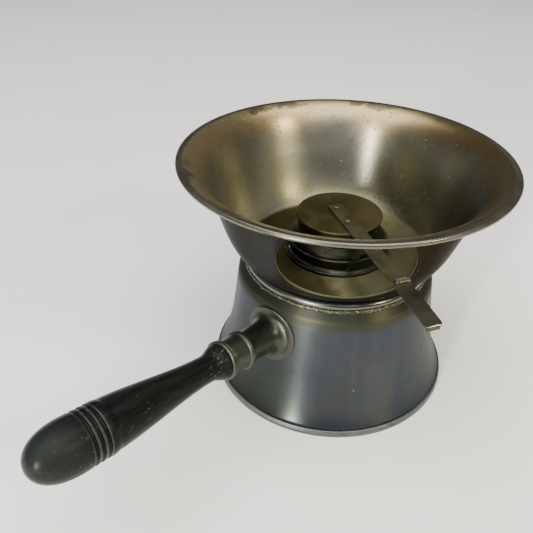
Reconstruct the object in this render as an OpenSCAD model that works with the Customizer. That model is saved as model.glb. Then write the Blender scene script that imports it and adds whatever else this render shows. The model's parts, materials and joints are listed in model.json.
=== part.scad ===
// Table spirit stove: a flared bowl on a hollow conical stand, with a regulated
// spirit burner in the bowl and a turned wooden handle on the side of the stand.
// Origin: centre of the foot ring's underside. +Z is up and the handle points to -X.

/* [Stand] */
// Outer radius of the foot ring
foot_r = 85.4; // [84:0.1:88]
// Height of the foot ring
foot_h = 4.6; // [4:0.1:6]
// Height of the stand's shoulder, where the cone turns in
shoulder_z = 81; // [80:0.5:82]
// Thickness of the spun sheet of the stand
stand_t = 1.2; // [1:0.1:1.5]

/* [Bowl] */
// Radius of the rim wire's centre line
rim_r = 103.6; // [102:0.1:105]
// Height of the rim wire's centre line
rim_z = 161.9; // [160:0.1:163]
// Radius of the rim wire
wire_r = 1.5; // [1.2:0.1:1.8]
// Thickness of the spun sheet of the bowl
bowl_t = 1.3; // [1:0.1:1.5]
// Underside of the bowl's floor
floor_z = 92.9; // [92.5:0.1:93.5]
// Radius of the bead ring that the bowl stands on
bead_r = 2.8; // [2.4:0.1:3]

/* [Window] */
// Direction of the window's middle, turned from +X
window_angle = -143; // [-146:1:-140]
// Half of the window's width
window_w = 38.5; // [36:0.5:40]
// Height of the window's lower edge
sill_z = 105; // [103:0.5:108]
// Height of the window's upper edge
window_top = 155; // [145:0.5:156]

/* [Burner] */
// Outer radius of the burner's flange
flange_r = 35.4; // [35:0.1:39]
// Outer radius of the burner drum's wall
drum_r = 33.3; // [33:0.1:34]
// Height of the flange's upper web
flange_z = 95; // [95:0.1:96]
// Height of the drum's upper lip
lip_z = 105.2; // [104:0.1:106]
// Outer radius of the regulator's skirt, which turns inside the drum
skirt_r = 31.9; // [31.5:0.1:32]
// Radial play of the skirt in the drum
skirt_play = 0.06; // [0.03:0.01:0.1]
// Radius of the regulator's neck
neck_r = 27.4; // [26:0.1:28]
// Radius of the cap disc
cap_r = 28.5; // [28:0.1:30]
// Height of the cap disc's top
cap_z = 122.4; // [121:0.1:124]
// Outer radius of the fuel font
font_r = 28.8; // [26:0.1:29]
// Height of the font's bottom seam
font_z = 40; // [30:1:50]

/* [Lever] */
// Direction of the lever, turned from +X
lever_angle = -121.6; // [-123:0.1:-118]
// Width of the lever's bars
bar_w = 10.4; // [8:0.1:11]
// Thickness of the lever's bars
bar_t = 1.3; // [1.2:0.1:1.8]
// Distance of the hinge pin from the burner's axis
hinge_r = 83.9; // [81:0.1:85]
// Radius of the hinge's knuckles
knuckle_r = 1.9; // [1.8:0.05:2.1]
// Radius of the hinge pin
pin_r = 0.8; // [0.7:0.05:0.9]
// Radial play of the pin in the outer knuckle
pin_play = 0.05; // [0.02:0.01:0.1]
// Length of the outer bar from the pin to its tip
thumb_len = 36.2; // [34:0.1:40]
// Droop of the outer bar below level, where it rests on its stop
thumb_droop = 2.5; // [0:0.5:6]

/* [Handle] */
// Height at which the handle's axis meets the cone
handle_z = 61.6; // [60:0.1:63]
// Rise of the handle above level
handle_rise = 9.7; // [8:0.1:11]
// Radius of the round plate on the cone
plate_r = 18.7; // [17:0.1:20]
// Distance from the cone to the start of the wood
grip_start = 46; // [46:0.5:48]
// Distance from the cone to the end of the wood
grip_end = 168; // [165:0.5:172]
// Largest radius of the wood
grip_r = 14.4; // [13.5:0.1:15]

/* [Hidden] */

fine = 96;
medium = 48;
small = 24;
curve_steps = 8;

metal_dark = "dimgray";
metal_light = "silver";
metal_warm = "darkkhaki";
wood_black = "#22201c";

// ---- Curves ------------------------------------------------------------

// Points on a cubic curve from a to d, without the first one
function cubic(a, b, c, d, n = curve_steps) =
    [for (i = [1 : n]) let (t = i / n, s = 1 - t)
        s * s * s * a + 3 * s * s * t * b + 3 * s * t * t * c + t * t * t * d];

function unit(v) = v / norm(v);

// The left-hand normal of a polyline at point i
function left_normal(p, i) =
    let (a = p[max(i - 1, 0)], b = p[min(i + 1, len(p) - 1)], u = unit(b - a))
    [-u[1], u[0]];

// A closed outline: a polyline and the same line moved t to its left
function sheet(p, t) = concat(p,
    [for (i = [len(p) - 1 : -1 : 0]) p[i] + t * left_normal(p, i)]);

// ---- Stand -------------------------------------------------------------

seam_z = foot_h + 0.6;
cone_foot_r = foot_r - 1.8;
shoulder_r = 66.9;
top_hole_r = 50;
stand_top_z = floor_z - 2 * bead_r;

// Outer line of the stand from the seam up to the shoulder
cone_line = concat([[cone_foot_r, seam_z]],
    cubic([cone_foot_r, seam_z], [79.6, 11.5], [76.4, 21], [73, 37]),
    cubic([73, 37], [71.4, 47], [69, 66], [shoulder_r + 0.3, shoulder_z - 2], 6));

// The shoulder's turn, its sloping band and the flat top that the bead ring lies on
stand_line = concat([[foot_r - 2.6, 0.8], [foot_r - 2.6, foot_h - 0.4]], cone_line,
    cubic([shoulder_r + 0.3, shoulder_z - 2], [shoulder_r + 0.1, shoulder_z - 0.3],
        [shoulder_r - 0.2, shoulder_z + 0.4], [shoulder_r - 1.2, shoulder_z + 1.3], 4),
    cubic([62.3, 86.1], [61.7, 86.7], [61.4, stand_top_z], [60.6, stand_top_z], 3),
    [[top_hole_r, stand_top_z]]);

// Radius of the cone's outer face at the handle's height
handle_wall_r = lookup(handle_z, [for (p = cone_line) [p[1], p[0]]]);

stud_r = 3;
stud_play = 0.1;

// Things placed along the handle's axis, from the cone outwards
module on_handle() {
    translate([-handle_wall_r, 0, handle_z])
        rotate([0, handle_rise - 90, 0])
            children();
}

module base_shell() {
    color(metal_dark)
    difference() {
        rotate_extrude($fn = fine) polygon(sheet(stand_line, stand_t));
        on_handle() translate([0, 0, -12])
            cylinder(r = stud_r + stud_play, h = 20, $fn = small);
    }
}

// Rolled band that the stand's edge sits in
module foot_ring() {
    color(metal_dark)
    rotate_extrude($fn = fine)
        polygon(concat([[foot_r - 3.6, 0], [foot_r - 0.6, 0]],
            cubic([foot_r - 0.6, 0], [foot_r, 0], [foot_r, 0.3], [foot_r, 1], 3),
            cubic([foot_r, 1], [foot_r, 3], [foot_r - 0.4, 4], [foot_r - 1.4, foot_h], 4),
            [[foot_r - 2.4, foot_h], [foot_r - 2.4, 0.7], [foot_r - 3.6, 0.7]]));
}

bead_at = [59.7, floor_z - bead_r];

// Fillet of solder in the notch between the stand's edge and the bead ring
module solder_seam() {
    color(metal_light)
    rotate_extrude($fn = fine)
        polygon(concat(
            [for (a = [-75 : 9 : -30]) bead_at + (bead_r + 0.02) * [cos(a), sin(a)]],
            [[62.5, 88.3], [62.3, 87.4], [61.6, stand_top_z + 0.05],
                [60.8, stand_top_z + 0.02]]));
}

// ---- Bowl --------------------------------------------------------------

floor_hole_r = font_r + 0.2;
floor_edge = [55, floor_z];
belly = [66.9, 99.8];
breast = [73.6, 110];
waist = [81.3, 131.3];
lip_end = [rim_r - wire_r - 0.02, rim_z - 0.7];

// Outer line of the bowl from the floor's hole to the rim
bowl_line = concat([[floor_hole_r, floor_z], floor_edge],
    cubic(floor_edge, [60, floor_z], [64.2, 97], belly, 7),
    cubic(belly, [68.9, 102], [71.1, 105], breast, 4),
    cubic(breast, [76.5, 116], [78.3, 122.5], waist, 5),
    cubic(waist, [86.9, 146], [90, 160], lip_end, 12));

window_mid_z = 131;
window_side_low = window_mid_z - sill_z;
window_corner = 8;
window_squareness = 0.85;

// One coordinate of a curve that is a little squarer than a circle
function fuller(v) = sign(v) * pow(abs(v), window_squareness);

// The window's outline: a full half oval below, drawn in to rounded corners above
window_side = concat(
    cubic([window_w, window_mid_z], [window_w, window_mid_z + 7], [window_w - 2.6, window_top - 14],
        [window_w - 4, window_top - window_corner], 5),
    [for (a = [20 : 14 : 90]) [window_w - 4.5 - window_corner * (1 - cos(a)),
        window_top - window_corner * (1 - sin(a))]]);
window_outline = concat(
    [for (a = [180 : 9 : 360]) [window_w * fuller(cos(a)),
        window_mid_z + window_side_low * fuller(sin(a))]],
    window_side,
    [for (i = [len(window_side) - 1 : -1 : 0]) [-window_side[i][0], window_side[i][1]]]);

module bowl() {
    color(metal_light)
    difference() {
        rotate_extrude($fn = fine) polygon(sheet(bowl_line, bowl_t));
        rotate([0, 0, window_angle]) translate([45, 0, 0])
            rotate([90, 0, 90]) linear_extrude(height = 75)
                polygon(window_outline);
    }
}

// Round ring between the stand's top and the bowl's floor
module base_bead() {
    color(metal_light)
    rotate_extrude($fn = fine) translate(bead_at)
        circle(r = bead_r - 0.01, $fn = small);
}

// Wire that stiffens the rim
module rim_wire() {
    color(metal_light)
    rotate_extrude($fn = fine) translate([rim_r, rim_z])
        circle(r = wire_r, $fn = small);
}

// ---- Fuel font and wick --------------------------------------------------

floor_top = floor_z + bowl_t;
font_t = 0.8;
neck_ring_r = 34;
font_edge_r = 32.5;
neck_ring_t = 1;
ledge_r = 24.6;

// Washer soldered under the bowl's floor, which stiffens the font's hole
module font_neck_ring() {
    color(metal_light)
    rotate_extrude($fn = fine)
        polygon([[font_r + 0.1, floor_z], [neck_ring_r, floor_z],
            [neck_ring_r - 0.3, floor_z - neck_ring_t], [font_r + 0.1, floor_z - neck_ring_t]]);
}

// Cylinder of the font, with its upper edge turned out over the bowl's floor
module fuel_font() {
    color(metal_warm)
    rotate_extrude($fn = fine)
        polygon([[font_r - font_t, font_z + 1], [font_r, font_z + 1], [font_r, floor_top],
            [font_edge_r, floor_top], [font_edge_r, floor_top + font_t],
            [font_r - font_t, floor_top + font_t]]);
}

// Dished bottom of the font, seamed round its edge
module font_bottom() {
    color(metal_warm)
    rotate_extrude($fn = fine)
        polygon(concat([[0, font_z + 2.2]],
            cubic([0, font_z + 2.2], [12, font_z + 2.2], [20, font_z + 1], [24, font_z], 5),
            cubic([24, font_z], [27, font_z - 0.6], [font_r + 0.9, font_z - 0.4],
                [font_r + 0.9, font_z + 0.6], 5),
            [[font_r + 0.9, font_z + 3.4], [font_r, font_z + 3.4], [font_r, font_z + 1],
                [font_r - font_t - 0.2, font_z + 1], [24, font_z + 1], [0, font_z + 3]]));
}

wick_top = 99;
wick_tube_r = 23.4;

// Tube that holds the wick in the font's mouth
module wick_tube() {
    color(metal_warm)
    rotate_extrude($fn = fine)
        polygon([[wick_tube_r - 0.7, 58], [wick_tube_r, 58], [wick_tube_r, flange_z + 1.3],
            [ledge_r + 1.6, flange_z + 1.3], [ledge_r + 1.6, flange_z + 2],
            [wick_tube_r, flange_z + 2], [wick_tube_r, wick_top + 0.8],
            [wick_tube_r - 0.7, wick_top + 0.8]]);
}

module wick() {
    color("ivory")
    translate([0, 0, font_z + 3.2])
        cylinder(r = wick_tube_r - 0.8, h = wick_top - font_z - 3.2, $fn = medium);
}

// Pierced disc over the wick, with rings of round holes
module wick_gauze() {
    color(metal_warm)
    difference() {
        translate([0, 0, wick_top + 0.05])
            cylinder(r = wick_tube_r - 0.8, h = 0.6, $fn = medium);
        for (ring = [1 : 3])
            for (i = [0 : 6 * ring - 1])
                rotate([0, 0, i * 60 / ring]) translate([6 * ring, 0, wick_top - 1])
                    cylinder(r = 1.5, h = 3, $fn = 16);
    }
}

// ---- Burner drum -----------------------------------------------------------

drum_in = skirt_r + skirt_play;
slot_start = -222;
slot_arc = 90;
slot_low = flange_z + 2.8;
slot_high = lip_z - 1.8;
slot_relief = 0.05;

// A block that cuts a curved slot with round ends through a ring about Z
module ring_slot(start, arc, low, high, r_in, r_out) {
    mid = (low + high) / 2;
    half = (high - low) / 2;
    end_turn = asin(half / r_out);
    rotate([0, 0, start + end_turn])
        rotate_extrude(angle = arc - 2 * end_turn, $fn = fine)
            translate([r_in, low + slot_relief])
                square([r_out - r_in, high - low - 2 * slot_relief]);
    for (turn = [start + end_turn, start + arc - end_turn])
        rotate([0, 0, turn]) translate([r_in, 0, mid]) rotate([0, 90, 0])
            cylinder(r = half, h = r_out - r_in, $fn = small);
}

// Fixed drum: flange on the bowl's floor, slotted wall and rolled lip
module burner_drum() {
    foot_top = flange_z + 1.2;
    color(metal_light)
    difference() {
        rotate([0, 0, slot_start - 45]) rotate_extrude($fn = fine)
            polygon(concat([[font_edge_r + 0.3, flange_z], [font_edge_r + 0.3, floor_top],
                    [flange_r, floor_top], [flange_r, foot_top], [drum_r + 1.4, foot_top]],
                cubic([drum_r + 1.4, foot_top], [drum_r + 1.4, foot_top + 0.9],
                    [drum_r + 0.7, foot_top + 1.2], [drum_r, foot_top + 1.3], 3),
                [[drum_r, lip_z - 1.4]],
                cubic([drum_r, lip_z - 1.4], [drum_r + 1.4, lip_z - 1.4],
                    [drum_r + 1.4, lip_z], [drum_r, lip_z], 6),
                [[drum_in, lip_z], [drum_in, foot_top], [ledge_r, foot_top],
                    [ledge_r, flange_z]]));
        for (turn = [0, 180]) rotate([0, 0, turn])
            ring_slot(slot_start, slot_arc, slot_low, slot_high, drum_in - 1, drum_r + 2);
    }
}

// ---- Regulator -------------------------------------------------------------

shoulder_top = 110.6;
skirt_t = 0.8;
cap_t = 1.4;
port_count = 20;
port_r = 1.6;
skirt_slot_start = -255;
skirt_slot_arc = 80;
skirt_bottom = flange_z + 1.5;

// Turning sleeve: slotted skirt, domed shoulder and pierced neck
module regulator_skirt() {
    neck_top = cap_z - cap_t;
    color(metal_warm)
    difference() {
        rotate([0, 0, skirt_slot_start + 130]) rotate_extrude($fn = fine)
            polygon(sheet(concat([[skirt_r, skirt_bottom], [skirt_r, lip_z + 0.4]],
                cubic([skirt_r, lip_z + 0.4], [skirt_r, lip_z + 3],
                    [neck_r + 2, shoulder_top - 1.4], [neck_r, shoulder_top], 6),
                [[neck_r, neck_top]]), skirt_t));
        for (turn = [0, 180]) rotate([0, 0, turn])
            ring_slot(skirt_slot_start, skirt_slot_arc, slot_low - 0.3,
                slot_high + 0.3, skirt_r - 3, skirt_r + 1);
        for (i = [0 : port_count - 1])
            rotate([0, 0, (i + 0.5) * 360 / port_count])
                translate([neck_r - 3, 0, (shoulder_top + neck_top) / 2 + 1]) rotate([0, 90, 0])
                    cylinder(r = port_r, h = 5, $fn = small);
    }
}

rivet_r = 1.6;
rivet_at = [-5.2, 13.5];

// Flat cap over the burner, riveted to the lever
module cap_disc() {
    color(metal_warm)
    difference() {
        rotate_extrude($fn = fine)
            polygon(concat([[0, cap_z - cap_t], [cap_r - 0.3, cap_z - cap_t],
                [cap_r, cap_z - cap_t + 0.3]],
                cubic([cap_r, cap_z - cap_t + 0.3], [cap_r, cap_z - 0.3],
                    [cap_r - 0.2, cap_z], [cap_r - 0.8, cap_z], 3),
                [[0, cap_z]]));
        rotate([0, 0, lever_angle])
            for (x = rivet_at) translate([x, 0, cap_z - 5])
                cylinder(r = rivet_r, h = 10, $fn = small);
    }
}

// ---- Lever -----------------------------------------------------------------

arm_start = -7.9;
hinge_z = cap_z + bar_t + 0.1;
gap = 0.25;
lug_w = 2;
thumb_knuckle = 1.3;
lug_side = -bar_w / 2 + lug_w;
knuckle_split = lug_side + thumb_knuckle + 0.3;
half_bar = bar_w / 2;

// A knuckle along the hinge's axis, from one side distance to another
module knuckle(from, to, bore) {
    rotate([-90, 0, 0]) difference() {
        translate([0, 0, from]) cylinder(r = knuckle_r, h = to - from, $fn = small);
        translate([0, 0, from - 1]) cylinder(r = bore, h = to - from + 2, $fn = small);
    }
}

// A round hole along the hinge's axis, from one side distance to another
module hinge_bore(from, to, radius) {
    translate([0, from, 0]) rotate([-90, 0, 0])
        cylinder(r = radius, h = to - from, $fn = small);
}

// Things placed at the hinge, with +X outwards along the lever
module at_hinge() {
    rotate([0, 0, lever_angle]) translate([hinge_r, 0, hinge_z]) children();
}

// Inner bar, riveted on the cap and passing out through the window. A lug beside the
// knuckles butts against the outer bar and stops its droop
module lever_arm() {
    reach = hinge_r - arm_start;
    color(metal_warm)
    union() {
        difference() {
            rotate([0, 0, lever_angle]) translate([arm_start, 0, cap_z]) {
                translate([0, -half_bar, 0])
                    cube([reach - knuckle_r - gap, bar_w, bar_t]);
                translate([0, -half_bar, 0])
                    cube([reach - gap / 2, lug_w - gap, bar_t]);
                translate([reach - 4, knuckle_split, 0])
                    cube([4, half_bar - knuckle_split, bar_t]);
            }
            rotate([0, 0, lever_angle])
                for (x = rivet_at) translate([x, 0, cap_z - 5])
                    cylinder(r = rivet_r, h = 12, $fn = small);
            at_hinge() hinge_bore(knuckle_split - 0.1, bar_w, (knuckle_r + pin_r) / 2);
        }
        at_hinge() knuckle(knuckle_split, half_bar, pin_r);
    }
}

// Two rivets with low round heads above and flat tails below the cap
module arm_rivets() {
    color(metal_warm)
    rotate([0, 0, lever_angle])
        for (x = rivet_at) translate([x, 0, 0])
            rotate_extrude($fn = medium)
                polygon(concat([[0, cap_z - cap_t - 1], [2.4, cap_z - cap_t - 1],
                    [2.4, cap_z - cap_t], [rivet_r, cap_z - cap_t],
                    [rivet_r, cap_z + bar_t], [2.3, cap_z + bar_t]],
                    cubic([2.3, cap_z + bar_t], [2, cap_z + bar_t + 0.5],
                        [1.1, cap_z + bar_t + 0.7], [0, cap_z + bar_t + 0.7], 4)));
}

module hinge_pin() {
    color(metal_light)
    at_hinge() hinge_bore(lug_side - 0.1, half_bar + 0.3, pin_r);
}

tip_drop = 3.4;
tip_corner = 1.8;

// The outer bar's outline from above, with rounded corners at its tip
thumb_outline = concat([[knuckle_r + gap, -half_bar]],
    [for (a = [-90 : 30 : 0]) [thumb_len - tip_corner * (1 - cos(a)),
        -half_bar + tip_corner * (1 + sin(a))]],
    [for (a = [0 : 30 : 90]) [thumb_len - 2 * tip_corner * (1 - cos(a)),
        half_bar - tip_corner * (1 - sin(a))]],
    [[knuckle_r + gap, half_bar]]);

// Outer bar with its own knuckle, resting against the arm's lug, and a turned-down tip
module thumb_lever() {
    under = -0.1 - bar_t;
    color(metal_warm)
    at_hinge() rotate([0, thumb_droop, 0])
    difference() {
        union() {
            translate([0, 0, under]) linear_extrude(height = bar_t) polygon(thumb_outline);
            translate([gap / 2, -half_bar, under])
                cube([4, lug_w + thumb_knuckle, bar_t]);
            translate([thumb_len - bar_t, -half_bar + tip_corner, -0.1 - tip_drop])
                cube([bar_t, bar_w - 2 * tip_corner, tip_drop]);
            knuckle(lug_side, lug_side + thumb_knuckle, pin_r + pin_play);
        }
        hinge_bore(-bar_w, bar_w, pin_r + pin_play);
    }
}

// ---- Retaining tabs ----------------------------------------------------------

tab_w = 6;
tab_turns = [-124, 56];

// Bent tabs on the drum's lip that keep the regulator from lifting
module retaining_tabs() {
    color(metal_warm)
    for (turn = tab_turns) rotate([0, 0, turn])
        translate([0, tab_w / 2, 0]) rotate([90, 0, 0]) linear_extrude(height = tab_w)
            polygon([[drum_in + 0.1, lip_z], [drum_r + 0.1, lip_z], [drum_r + 0.2, lip_z + 1],
                [skirt_r - 0.7, lip_z + 4.4], [skirt_r - 2.5, lip_z + 5.2],
                [skirt_r - 2.5, lip_z + 4.5], [skirt_r - 1.1, lip_z + 3.8],
                [drum_in + 0.1, lip_z + 2]]);
}

// ---- Handle ------------------------------------------------------------------

plate_t = 1.4;

// Solid of revolution inside the stand's outer line, grown by a margin
module stand_core(grow) {
    rotate_extrude($fn = fine)
        polygon(concat([[0, seam_z], [cone_line[0][0] + grow, seam_z]],
            [for (p = cone_line) p + [grow, 0]], [[0, shoulder_z - 2]]));
}

// Round plate that follows the cone
module handle_plate() {
    color(metal_dark)
    difference() {
        intersection() {
            stand_core(plate_t);
            on_handle() translate([0, 0, -10]) cylinder(r = plate_r, h = 20, $fn = fine);
        }
        stand_core(0.02);
        on_handle() translate([0, 0, -12])
            cylinder(r = stud_r + stud_play, h = 30, $fn = small);
    }
}

socket_line = concat([[15.2, -3], [15.2, 1.6]],
    cubic([15.2, 1.6], [12.4, 2.2], [10.9, 4.5], [10.6, 9]),
    [[10.3, 26.4]],
    cubic([10.3, 26.4], [12.9, 26.2], [13.2, 30.4], [11.3, 30.6], 7),
    cubic([11.3, 30.6], [11.2, 34], [10.6, 38], [10.4, 41], 3),
    [[stud_r + stud_play, 41], [stud_r + stud_play, -3]]);

// Trumpet-shaped socket with a bead near its middle
module handle_socket() {
    color(metal_dark)
    difference() {
        on_handle() rotate_extrude($fn = fine) polygon(socket_line);
        stand_core(plate_t + 0.02);
    }
}

// Double ring where the wood starts
module handle_ferrule() {
    color(metal_dark)
    on_handle() rotate_extrude($fn = fine)
        polygon(concat([[stud_r + stud_play, 41], [10.2, 41], [10.2, 41.6]],
            cubic([10.2, 41.6], [12, 41.4], [12.4, 43.6], [11.5, 43.8], 5),
            cubic([11.5, 43.8], [12.6, 43.9], [12.6, grip_start], [11.2, grip_start], 5),
            [[stud_r + stud_play, grip_start]]));
}

stud_depth = 40;
groove_at = [132.8, 136.3, 139.8];
groove_r = 0.95;

// Outline of the turned grip: neck, waist, long swell and round end
grip_line = concat([[11, grip_start]],
    cubic([11, grip_start], [10.9, grip_start + 5], [8.1, grip_start + 6], [8.1, grip_start + 12]),
    cubic([8.1, grip_start + 12], [8.1, 78], [14, 112], [grip_r, 142], 12),
    cubic([grip_r, 142], [grip_r + 0.7, 158], [9.5, grip_end], [0, grip_end], 12));

module wood_grip() {
    color(wood_black)
    on_handle() difference() {
        rotate_extrude($fn = fine) polygon(concat(grip_line, [[0, grip_start]]));
        translate([0, 0, grip_start - 1]) cylinder(r = stud_r, h = stud_depth + 1, $fn = small);
        for (s = groove_at)
            rotate_extrude($fn = fine) translate([grip_r - 0.1, s])
                circle(r = groove_r, $fn = small);
    }
}

stud_inner = -9;

// Rod through the stand's wall and the socket into the wood
module handle_stud() {
    color(metal_light)
    on_handle() translate([0, 0, stud_inner])
        cylinder(r = stud_r, h = grip_start + stud_depth - stud_inner, $fn = small);
}

washer_s = -stand_t - 0.6;
washer_t = 1;
nut_t = 4.5;

module stud_washer() {
    color(metal_light)
    on_handle() translate([0, 0, washer_s - washer_t]) difference() {
        cylinder(r = 7, h = washer_t, $fn = medium);
        translate([0, 0, -1]) cylinder(r = stud_r + stud_play, h = 3, $fn = small);
    }
}

module stud_nut() {
    color(metal_light)
    on_handle() translate([0, 0, washer_s - washer_t - nut_t]) difference() {
        cylinder(r = 5.8, h = nut_t, $fn = 6);
        translate([0, 0, -1]) cylinder(r = stud_r, h = nut_t + 2, $fn = small);
    }
}

base_shell();
foot_ring();
solder_seam();
bowl();
base_bead();
rim_wire();
font_neck_ring();
fuel_font();
font_bottom();
wick_tube();
wick();
wick_gauze();
burner_drum();
retaining_tabs();
regulator_skirt();
cap_disc();
lever_arm();
arm_rivets();
hinge_pin();
thumb_lever();
handle_plate();
handle_socket();
handle_ferrule();
wood_grip();
handle_stud();
stud_washer();
stud_nut();
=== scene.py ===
"""Looks of the table spirit stove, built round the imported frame. Lengths are in millimetres."""
import json
from math import asin, atan2, ceil, copysign, cos, degrees, floor, hypot, pi, radians, sin

import bmesh
import bpy
import numpy as np
from mathutils import Matrix, Vector, noise


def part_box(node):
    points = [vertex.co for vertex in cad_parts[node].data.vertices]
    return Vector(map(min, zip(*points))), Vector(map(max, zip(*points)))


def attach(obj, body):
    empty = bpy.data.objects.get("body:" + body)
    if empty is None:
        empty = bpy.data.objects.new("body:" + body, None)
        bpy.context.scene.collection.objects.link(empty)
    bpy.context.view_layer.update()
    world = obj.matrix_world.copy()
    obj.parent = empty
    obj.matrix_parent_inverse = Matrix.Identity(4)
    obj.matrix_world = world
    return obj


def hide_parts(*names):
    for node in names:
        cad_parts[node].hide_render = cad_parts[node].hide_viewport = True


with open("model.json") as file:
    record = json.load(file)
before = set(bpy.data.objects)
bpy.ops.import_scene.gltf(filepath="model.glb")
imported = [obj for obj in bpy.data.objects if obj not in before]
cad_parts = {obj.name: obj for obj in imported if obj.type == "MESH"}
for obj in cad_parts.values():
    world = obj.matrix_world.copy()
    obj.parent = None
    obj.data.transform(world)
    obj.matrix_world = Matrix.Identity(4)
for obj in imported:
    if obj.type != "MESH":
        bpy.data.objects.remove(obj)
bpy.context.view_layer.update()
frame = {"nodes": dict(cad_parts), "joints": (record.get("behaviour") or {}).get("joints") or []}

MM = 0.001
FINE, MEDIUM, SMALL = 384, 192, 96  # steps round a turned piece
PIERCED = 480  # steps round a shell with holes
NEAR_SIDE, FAR_SIDE = -50, 130  # directions about the stove's axis, in degrees
TINY = 1e-6


# ---- Sizes, read from the frame ----

def span(node):
    """The lowest and highest corners of a CAD node, in millimetres."""
    low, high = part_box(node)
    return np.array(low) / MM, np.array(high) / MM


foot_r, _, foot_h = span("foot_ring")[1]
floor_z = span("bowl")[0][2]
rim_low, rim_high = span("rim_wire")
wire_r = (rim_high[2] - rim_low[2]) / 2
rim_r = rim_high[0] - wire_r
rim_z = rim_high[2] - wire_r
(_, _, drum_bottom), (flange_r, _, lip_z) = span("burner_drum")
(_, _, skirt_bottom), (skirt_r, _, _) = span("regulator_skirt")
(_, _, cap_low), (cap_r, _, cap_z) = span("cap_disc")
cap_t = cap_z - cap_low
hinge = next(np.array(j["pos_m"]) / MM for j in frame["joints"] if j["name"] == "thumb_lever_fold")
hinge_r = hypot(hinge[0], hinge[1])
lever_angle = atan2(hinge[1], hinge[0])

stand_t, bowl_t, bead_r = 1.2, 1.3, 2.8
bead_at = (59.7, floor_z - bead_r)
flange_z = 95.0
drum_r = 33.3
neck_r = 27.4
handle_rise = 9.7


# ---- Outlines ----

def cubic(a, b, c, d, steps=10):
    """Points on a cubic curve from a to d, without the first one."""
    a, b, c, d = (np.array(p, float) for p in (a, b, c, d))
    return [(1 - t) ** 3 * a + 3 * (1 - t) ** 2 * t * b + 3 * (1 - t) * t * t * c + t ** 3 * d
            for t in np.linspace(0, 1, steps + 1)[1:]]


def arc(centre, radius, start, end, steps=12):
    """Points on an arc, from a start angle to an end angle in degrees."""
    return [(centre[0] + radius * cos(radians(a)), centre[1] + radius * sin(radians(a)))
            for a in np.linspace(start, end, steps + 1)]


def path(start, *moves):
    """An outline from a start. A move is a point, or a curve's two handles, end and number of steps."""
    out = [start]
    for move in moves:
        out += [move] if len(move) == 2 else cubic(out[-1], *move)
    return out


def soften(outline, radius, steps=3):
    """A closed outline with each sharp corner rounded off."""
    out = []
    straight, reach = 0.9, 0.45
    for i, point in enumerate(outline):
        here = np.array(point, float)
        back = np.array(outline[i - 1], float) - here
        on = np.array(outline[(i + 1) % len(outline)], float) - here
        far_back, far_on = np.linalg.norm(back), np.linalg.norm(on)
        if min(far_back, far_on) < TINY:
            continue
        if -np.dot(back, on) / (far_back * far_on) > straight or here[0] < TINY:
            out.append(here)
            continue
        first = here + back / far_back * min(radius, reach * far_back)
        last = here + on / far_on * min(radius, reach * far_on)
        for t in np.linspace(0, 1, steps + 1):
            out.append((1 - t) ** 2 * first + 2 * t * (1 - t) * here + t * t * last)
    return out


# ---- Meshes ----

def placed(name, data):
    """A new object in the scene."""
    made = bpy.data.objects.new(name, data)
    bpy.context.scene.collection.objects.link(made)
    return made


def finished(name, points, faces, sharp=38, groups=None):
    """An object made from points in millimetres, smooth except at sharp edges."""
    mesh = bpy.data.meshes.new(name)
    mesh.from_pydata([tuple(p) for p in np.asarray(points, float) * MM], [], faces)
    if groups is not None:
        mesh.polygons.foreach_set("material_index", np.array(groups, np.int32))
    tidy = bmesh.new()
    tidy.from_mesh(mesh)
    bmesh.ops.recalc_face_normals(tidy, faces=tidy.faces)
    tidy.to_mesh(mesh)
    tidy.free()
    mesh.shade_smooth()
    mesh.set_sharp_from_angle(angle=radians(sharp))
    return placed(name, mesh)


def unevenness(angle, z, seed):
    """A gentle hand-made waviness between about -1 and 1."""
    return (0.5 * np.sin(2 * angle + 0.031 * z + seed) + 0.3 * np.sin(3 * angle - 0.07 * z + 2.3 * seed)
            + 0.2 * np.sin(7 * angle + 0.13 * z + 4.1 * seed))


def ring_faces(rings):
    """Faces from each ring of point numbers to the one before, the first closing on the last."""
    faces = []
    for low, high in zip(rings[-1:] + rings[:-1], rings):
        if low[0] == low[1] and high[0] == high[1]:
            continue
        for i in range(len(low)):
            j = (i + 1) % len(low)
            faces.append(list(dict.fromkeys((low[i], low[j], high[j], high[i]))))
    return faces


def turned(name, outline, turns=FINE, place=None, wobble=0.0, seed=0.0, sharp=38):
    """A solid turned from a closed outline of (radius, height) points."""
    angles = np.arange(turns) * 2 * pi / turns
    points, rings = [], []
    for r, z in outline:
        if r < TINY:
            rings.append([len(points)] * turns)
            points.append((0.0, 0.0, z))
            continue
        rings.append(list(range(len(points), len(points) + turns)))
        wide = r + wobble * unevenness(angles, z, seed)
        points.extend(zip(wide * np.cos(angles), wide * np.sin(angles), [z] * turns))
    if place is not None:
        points = [place @ Vector(p) for p in points]
    return finished(name, points, ring_faces(rings), sharp)


def shaped(name, rings, turns, at, sharp):
    """A solid from a closed run of (radius, height) rings, with a function that places each point."""
    points = [at(r, z, 2 * pi * i / turns) for r, z in rings for i in range(turns)]
    numbers = [range(k * turns, (k + 1) * turns) for k in range(len(rings))]
    return finished(name, points, ring_faces(numbers), sharp)


def resampled(line, step):
    """A smooth even run of points along a line, with arc lengths and left-hand normals."""
    line = np.array(line, float)
    along = np.concatenate([[0], np.cumsum(np.linalg.norm(np.diff(line, axis=0), axis=1))])
    even = np.linspace(0, along[-1], max(int(along[-1] / step), 4) + 1)
    points = np.stack([np.interp(even, along, line[:, 0]), np.interp(even, along, line[:, 1])], 1)
    slope = np.gradient(points, axis=0)
    slope /= np.linalg.norm(slope, axis=1)[:, None]
    return even, points, np.stack([-slope[:, 1], slope[:, 0]], 1)


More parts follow.
